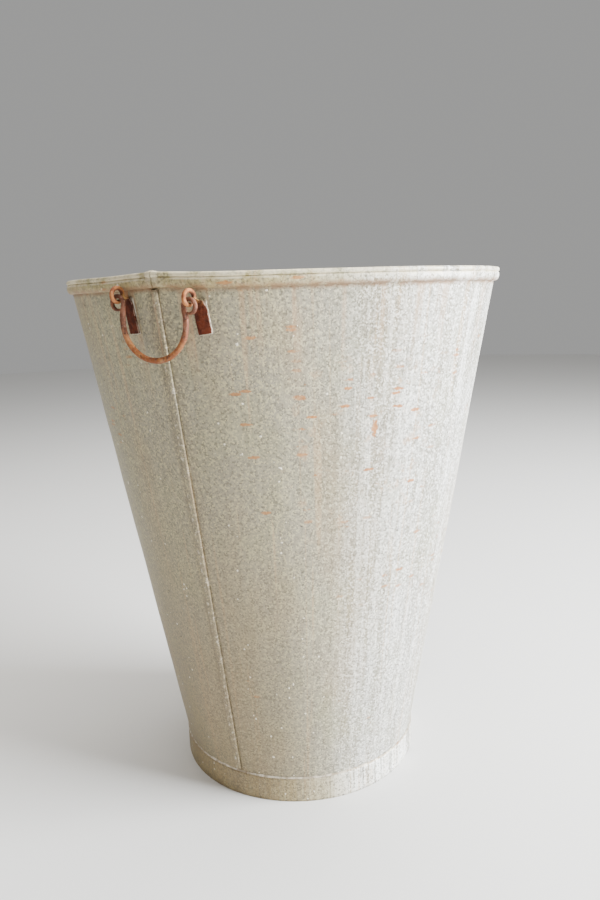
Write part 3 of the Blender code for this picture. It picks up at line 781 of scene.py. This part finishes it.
# ---------------------------------------------------------------------------------------------
# Lugs. Each is one forging: a flat strap soldered to the wall, drawn out at the top into a rod
# that is bent out and over into an eye. Dark rust has taken the strap; the eye is rubbed lighter.
FRONT = {
    "strap": math.radians(9.8),
    "eye": math.radians(8.8),
    "z": RIM_Z - 0.0209,
    "tilt": math.radians(8.5),
    "length": 0.0358,
}
REAR = {
    "strap": math.radians(-9.3),
    "eye": math.radians(-9.2),
    "z": RIM_Z - 0.0160,
    "tilt": 0.0,
    "length": 0.0395,
}
STRAP_WIDTH, STRAP_THICK = 0.0130, 0.0020
STRAP_CORNERS = ((0, 0.90), (0.0003, 0.955), (0.0008, 0.985), (0.0016, 1.0))  # (height, share of width)
SHOULDER = 0.0060
DRAWN_IN, DRAWN_OVER = 0.30, 0.0060  # how much, and over what length, the strap narrows to its shoulder
EYE_RADIUS, EYE_ROD = 0.0064, 0.0021
EYE_STANDOFF = 0.0126
EYE_TWIST = math.radians(12)
EYE_START, EYE_END = math.radians(186), math.radians(-122)
BED_THICK, BED_MARGIN = 0.0004, 0.0006
FLAT_BAR, ROUND_BAR = 9, 2  # how square a section is
STRAP_ROWS, NECK_ROWS, EYE_ROWS = 18, 12, 52
BED_COLUMNS, BED_ROWS = 26, 44
LUG_SIDES, ROD_SIDES = 28, 22


def forged_rod(name, sections, finish, sides):
    """Skins rounded sections (centre, side, face, half width, half thickness, squareness).

    It stores where each point lies: along the piece, 0 to 1, towards its face, -1 to 1, and
    towards the edge of its side, 0 to 1.
    """
    bm = bmesh.new()
    along_layer = bm.verts.layers.float.new("along")
    facing_layer = bm.verts.layers.float.new("facing")
    edge_layer = bm.verts.layers.float.new("edge")
    loops = []
    for i, (centre, side, face, wide, thick, square) in enumerate(sections):
        made = bmesh.ops.create_circle(bm, segments=sides, radius=1)["verts"]
        for vert in made:
            x, y = vert.co.x, vert.co.y
            reach = (abs(x) ** square + abs(y) ** square) ** (-1 / square)
            vert.co = centre + side * (x * reach * wide) + face * (y * reach * thick)
            vert[along_layer] = i / (len(sections) - 1)
            vert[facing_layer] = y
            vert[edge_layer] = min(1, abs(x * reach))
        loops.append(list(dict.fromkeys(edge for vert in made for edge in vert.link_edges)))
    for loop, following in zip(loops, loops[1:]):
        bmesh.ops.bridge_loops(bm, edges=loop + following)
    bmesh.ops.holes_fill(bm, edges=bm.edges, sides=0)
    bmesh.ops.recalc_face_normals(bm, faces=bm.faces)
    return add_piece(name, bm, finish)


def wall_frame(angle, z):
    """(along, up, out): unit vectors along the wall in plan, up its slope, and out of it."""
    small = 1e-4
    along = (wall_point(angle + small, z) - wall_point(angle - small, z)).normalized()
    slope = wall_point(angle, z + small) - wall_point(angle, z)
    out = along.cross(slope).normalized()
    return along, out.cross(along), out


def tilted(axes, tilt):
    """The same axes, turned by tilt in the face of the wall."""
    along, up, out = axes
    return along * math.cos(tilt) + up * math.sin(tilt), up * math.cos(tilt) - along * math.sin(tilt), out


def eye_centre(place):
    """The middle of a lug's eye, standing off the wall."""
    out = wall_frame(place["eye"], place["z"])[2]
    return wall_point(place["eye"], place["z"]) + out * (SHEET / 2 + EYE_STANDOFF)


def ease(t):
    """Smoothly from 0 to 1."""
    t = min(1, max(0, t))
    return t * t * (3 - 2 * t)


front_eye, rear_eye = eye_centre(FRONT), eye_centre(REAR)
hinge_axis = (front_eye - rear_eye).normalized()


def half_turned(piece, name, body, node):
    """The same piece at the other seam: its mesh turned half round the bucket's axis."""
    mesh = piece.data.copy()
    mesh.transform(Matrix.Rotation(math.pi, 4, "Z"))
    copy = bpy.data.objects.new(name, mesh)
    bpy.context.collection.objects.link(copy)
    settle(copy, body, node)


def stored(tree, name):
    """What forged_rod stored at each point under this name."""
    return add_node(tree, "Attribute", attribute_name=name).outputs["Fac"]


def dark_rust():
    """Red-brown rust on forged iron, crusty on the strap, lighter and rubbed on the eye, with painted
    shade on one side of the eye.
    """
    material, tree, shader = new_finish("dark rusted iron", 0.0)
    shader.inputs["Specular IOR Level"].default_value = 0.2
    place = add_node(tree, "TexCoord").outputs["Object"]
    along, facing, edge = stored(tree, "along"), stored(tree, "facing"), stored(tree, "edge")
    crust = grain(tree, place, 330, 5, 0.65)
    blotch = grain(tree, place, 120)
    strap = between(tree, blotch, 0.36, 0.64)
    strap = blend_colours(tree, strap, (0.050, 0.010, 0.004), (0.115, 0.024, 0.009))
    strap = blend_colours(tree, between(tree, crust, 0.56, 0.74, 0, 0.45), strap, (0.21, 0.060, 0.026))
    eye_tone = between(tree, blotch, 0.36, 0.62)
    eye_tone = blend_colours(tree, eye_tone, (0.20, 0.062, 0.025), (0.42, 0.17, 0.062))
    # Painted shade: one side of the eye's rod is darkened.
    eye_shade_side = between(tree, facing, -0.2, 0.7, 0, 0.9)
    eye_tone = blend_colours(tree, eye_shade_side, eye_tone, (0.075, 0.022, 0.012))
    eye_tone = blend_colours(tree, between(tree, crust, 0.56, 0.72, 0, 0.4), eye_tone, (0.55, 0.32, 0.19))
    colour = blend_colours(tree, between(tree, along, 0.30, 0.44), strap, eye_tone)
    neck = times(tree, between(tree, along, 0.20, 0.30), between(tree, along, 0.46, 0.36))
    patch = times(tree, neck, between(tree, blotch, 0.40, 0.55))
    colour = blend_colours(tree, times(tree, patch, 0.75), colour, (0.55, 0.30, 0.10))
    rubbed = times(tree, between(tree, edge, 0.93, 0.995), between(tree, along, 0.30, 0.2))
    rubbed = times(tree, rubbed, between(tree, crust, 0.42, 0.56))
    colour = blend_colours(tree, times(tree, rubbed, 0.55), colour, (0.50, 0.36, 0.28))
    relief = sums(tree, "ADD", crust, times(tree, blotch, 0.6))
    set_surface(tree, shader, colour, between(tree, crust, 0.3, 0.7, 0.92, 0.66), relief, 0.0012)
    return material


lug_rust = dark_rust()


def lug(name, place):
    """One forging: the strap from its lower end, the neck, then round the eye to its tip."""
    along, up, out = tilted(wall_frame(place["strap"], place["z"]), place["tilt"])
    strap = wall_point(place["strap"], place["z"])
    strap += out * (SHEET / 2 + BED_THICK + 2 * GAP + STRAP_THICK / 2)
    half_w, half_t = STRAP_WIDTH / 2, STRAP_THICK / 2
    eye_axis = Matrix.Rotation(-EYE_TWIST, 3, "Z") @ hinge_axis
    outward = eye_axis.cross(Vector((0, 0, 1))).normalized()
    vertical = outward.cross(eye_axis).normalized()
    centre = eye_centre(place)
    bottom = place["length"]
    sections = []
    for rise, width in STRAP_CORNERS:
        sections.append((strap - up * (bottom - rise), along, out, half_w * width, half_t, FLAT_BAR))
    plain = bottom - STRAP_CORNERS[-1][0]
    for i in range(1, STRAP_ROWS):
        below = plain - (plain - SHOULDER) * i / (STRAP_ROWS - 1)
        rough = 1 + 0.03 * noise.noise(Vector((place["strap"] * 40, 0, below * 260)))
        drawn = 1 - DRAWN_IN * ease((SHOULDER + DRAWN_OVER - below) / DRAWN_OVER)
        width, thick = half_w * rough * drawn, half_t * rough
        sections.append((strap - up * below, along, out, width, thick, FLAT_BAR))
    first_ray = outward * math.cos(EYE_START) + vertical * math.sin(EYE_START)
    neck_start, neck_end = strap - up * SHOULDER, centre + first_ray * EYE_RADIUS
    for i in range(1, NECK_ROWS):
        t = i / NECK_ROWS
        turn = ease(t)
        middle = neck_start.lerp(neck_end, turn)
        middle += up * (t - turn) * (neck_end - neck_start).length * 0.4
        side = along.lerp(eye_axis, turn).normalized()
        face = out.lerp(-first_ray, turn).normalized()
        shoulder = half_w * (1 - DRAWN_IN)
        width = shoulder + (EYE_ROD - shoulder) * ease(t * 1.1)
        thick = half_t + (EYE_ROD - half_t) * ease(t * 1.1 - 0.1)
        square = FLAT_BAR + (ROUND_BAR - FLAT_BAR) * ease(t * 1.6)
        sections.append((middle, side, face, width, thick, square))
    for i in range(EYE_ROWS + 1):
        turn = EYE_START + (EYE_END - EYE_START) * i / EYE_ROWS
        ray = outward * math.cos(turn) + vertical * math.sin(turn)
        worn = 1 + 0.05 * noise.noise(ray * 2.4 + centre * 30)
        tip = 1 - 0.45 * max(0, (i - EYE_ROWS + 3) / 3) ** 2
        rod = EYE_ROD * worn * tip
        sections.append((centre + ray * EYE_RADIUS, eye_axis, -ray, rod, rod, ROUND_BAR))
    return forged_rod(name, sections, lug_rust, LUG_SIDES)


def lug_bed(name, place):
    """Solder under and round a strap, run out unevenly past its edges."""
    along, up, out = tilted(wall_frame(place["strap"], place["z"]), place["tilt"])
    root = wall_point(place["strap"], place["z"]) + out * (SHEET / 2 + GAP)
    low, high = place["length"] + BED_MARGIN, SHOULDER - GAP

    def bed_point(i, j):
        x, y = 2 * i / BED_COLUMNS - 1, 2 * j / BED_ROWS - 1
        uneven = 1 + 0.9 * noise.noise(Vector((x * 1.5, y * 7, place["strap"] * 20)))
        margin = BED_MARGIN * uneven
        across = x * (STRAP_WIDTH / 2 + margin)
        below = (low + high) / 2 - y * ((low - high) / 2 + margin * 0.6)
        rounded = max(0, 1 - abs(x) ** 14 - abs(y) ** 20)
        edge_bead = BED_THICK * (abs(x) ** 10) * (abs(x) < 1) * uneven
        return root + along * across - up * below + out * ((BED_THICK + edge_bead) * rounded ** 0.5)

    bm = bmesh.new()
    bent_grid(bm, BED_COLUMNS, BED_ROWS, bed_point)
    outline = [edge for edge in bm.edges if edge.is_boundary]
    bmesh.ops.edgeloop_fill(bm, edges=outline)
    bmesh.ops.recalc_face_normals(bm, faces=bm.faces)
    return add_piece(name, bm, solder)


for row, other, place in (("front", "rear", FRONT), ("rear", "front", REAR)):
    forging = lug(f"left_{row}_forging", place)
    bed = lug_bed(f"left_{row}_bed", place)
    settle(forging, "bucket", f"left_{row}_lug")
    settle(bed, "bucket", f"left_{row}_lug_solder")
    half_turned(forging, f"right_{other}_forging", "bucket", f"right_{other}_lug")
    half_turned(bed, f"right_{other}_bed", "bucket", f"right_{other}_lug_solder")

# ---------------------------------------------------------------------------------------------
# Handles. A round iron rod bent to a U; its ends are drawn thinner and curled outwards into eyes
# that link through the lugs. Hands have rubbed the rust smooth and orange along the grip.
ROD_RADIUS, END_RADIUS, TAIL_RADIUS = 0.0028, 0.0021, 0.0010
LINK_PLAY = 0.0009
LINK_DROP = EYE_RADIUS - EYE_ROD - END_RADIUS - LINK_PLAY
HANDLE_DROP = 0.0580
LEG_SPREAD = 0.0018
TAIL_ANGLE = math.radians(-60)
CURL_STEPS, TAIL_STEPS, LEG_STEPS, BEND_STEPS = 48, 14, 14, 72


def worn_rust():
    """Rubbed rust: orange-tan on the grip, mauve-brown up the legs, with dark pits, and painted shade
    along the rod's outer, lower side.
    """
    material, tree, shader = new_finish("worn rusted rod", 0.1)
    shader.inputs["Specular IOR Level"].default_value = 0.35
    place = add_node(tree, "TexCoord").outputs["Object"]
    height, facing = axis_of(tree, place, "Z"), stored(tree, "facing")
    blotch = grain(tree, place, 95)
    crust = grain(tree, place, 420, 5, 0.65)
    grip = between(tree, blotch, 0.38, 0.62)
    grip = blend_colours(tree, grip, (0.25, 0.075, 0.022), (0.47, 0.20, 0.062))
    legs = between(tree, blotch, 0.40, 0.60)
    legs = blend_colours(tree, legs, (0.10, 0.033, 0.016), (0.235, 0.092, 0.050))
    low = front_eye.z - HANDLE_DROP
    colour = blend_colours(tree, between(tree, height, low + 0.012, low + 0.034), grip, legs)
    # Painted shade: the outer, lower side of the rod is darkened.
    colour = blend_colours(tree, between(tree, facing, -0.1, 0.9, 0, 0.6), colour, (0.15, 0.045, 0.018))
    pits = between(tree, grain(tree, place, 230, 4, 0.7), 0.57, 0.66)
    colour = blend_colours(tree, times(tree, pits, 0.8), colour, (0.085, 0.035, 0.022))
    pale = between(tree, crust, 0.55, 0.72)
    colour = blend_colours(tree, times(tree, pale, 0.34), colour, (0.58, 0.37, 0.25))
    relief = sums(tree, "SUBTRACT", crust, times(tree, pits, 0.9))
    set_surface(tree, shader, colour, between(tree, crust, 0.3, 0.7, 0.72, 0.45), relief, 0.0008)
    return material


rod_rust = worn_rust()


def handle(name, front, rear):
    """The U-shaped rod; front and rear are the points where its eyes hang in the lugs."""
    middle = (front + rear) / 2
    across = (front - rear) * Vector((1, 1, 0))
    half = across.length / 2
    across.normalize()
    leg = half - EYE_RADIUS + LEG_SPREAD
    bend_z = leg - HANDLE_DROP

    def end(side, top):
        """From the tail round the eye, then down the leg: (sideways, z, radius) at each step."""
        steps = []
        for i in range(CURL_STEPS + 1):
            turn = TAIL_ANGLE - (2 * math.pi + TAIL_ANGLE) * i / CURL_STEPS
            radius = TAIL_RADIUS + (END_RADIUS - TAIL_RADIUS) * ease(i / TAIL_STEPS)
            sideways = side * (half - EYE_RADIUS * math.cos(turn))
            steps.append((sideways, top - EYE_RADIUS + EYE_RADIUS * math.sin(turn), radius))
        leg_top = top - EYE_RADIUS
        for i in range(1, LEG_STEPS):
            t = i / LEG_STEPS
            inset = LEG_SPREAD * (1 - ease(t * 1.3))
            radius = END_RADIUS + (ROD_RADIUS - END_RADIUS) * ease(t * 2.2)
            steps.append((side * (leg - inset), leg_top + (bend_z - leg_top) * t, radius))
        return steps

    route = end(1, front.z - middle.z)
    for i in range(BEND_STEPS + 1):
        turn = math.pi * i / BEND_STEPS
        route.append((leg * math.cos(turn), bend_z - leg * math.sin(turn), ROD_RADIUS))
    route += end(-1, rear.z - middle.z)[::-1]

    points = [middle + across * sideways + Vector((0, 0, z)) for sideways, z, _ in route]
    plane = across.cross(Vector((0, 0, 1))).normalized()
    sections = []
    for i, (point, (_, _, radius)) in enumerate(zip(points, route)):
        before, after = points[max(0, i - 1)], points[min(len(points) - 1, i + 1)]
        face = plane.cross((after - before).normalized())
        wear = 1 + 0.07 * noise.noise(point * 120) + 0.04 * noise.noise(point * 330)
        tip = 0.6 if i in (0, len(points) - 1) else 1
        rod = radius * wear * tip
        sections.append((point, plane, face, rod, rod, ROUND_BAR))
    return forged_rod(name, sections, rod_rust, ROD_SIDES)


link = Vector((0, 0, LINK_DROP))
left_handle = handle("left_grip", front_eye - link, rear_eye - link)
settle(left_handle, "left_handle", "left_handle")
half_turned(left_handle, "right_grip", "right_handle", "right_handle")
